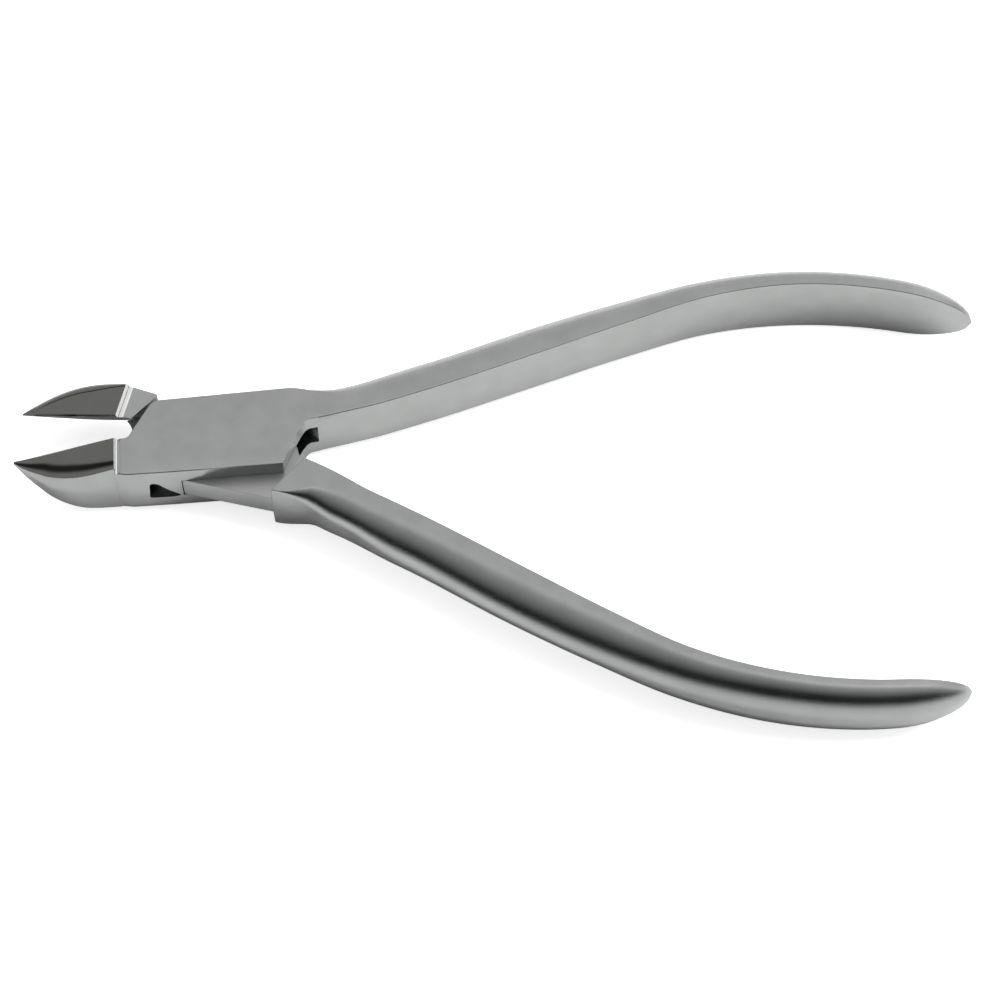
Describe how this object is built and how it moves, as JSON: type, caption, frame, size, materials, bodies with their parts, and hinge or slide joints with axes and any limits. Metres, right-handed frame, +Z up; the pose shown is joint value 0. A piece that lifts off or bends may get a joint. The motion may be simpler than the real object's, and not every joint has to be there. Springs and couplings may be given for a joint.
{
  "type": "box-joint side nippers",
  "caption": "Small steel side-cutting nippers with a box joint, flush polished jaws and two long S-curved handles, standing half open.",
  "frame": {"origin": "the pivot axis where it meets the flat underside of the joint box", "axes": "+Z up along the pivot, out of the side with the flush jaw faces; +X from the pivot towards the handles, midway between the two halves; the box half's handle is on +Y"},
  "size_m": [0.1364, 0.072, 0.0109],
  "materials": {
    "satin_steel": "satin brushed stainless, mirror polished on the jaws' flush faces",
    "pin_steel": "ground flush with the cheeks"
  },
  "bodies": {
    "box_half": {"box_half": "satin_steel", "pivot_pin": "pin_steel"},
    "tang_half": {"tang_half": "satin_steel"}
  },
  "joints": [
    {"name": "pivot", "type": "hinge", "parent": "box_half", "child": "tang_half", "pos_m": [0, 0, 0.00455], "axis": [0, 0, -1], "range_deg": [-17, 12]}
  ]
}
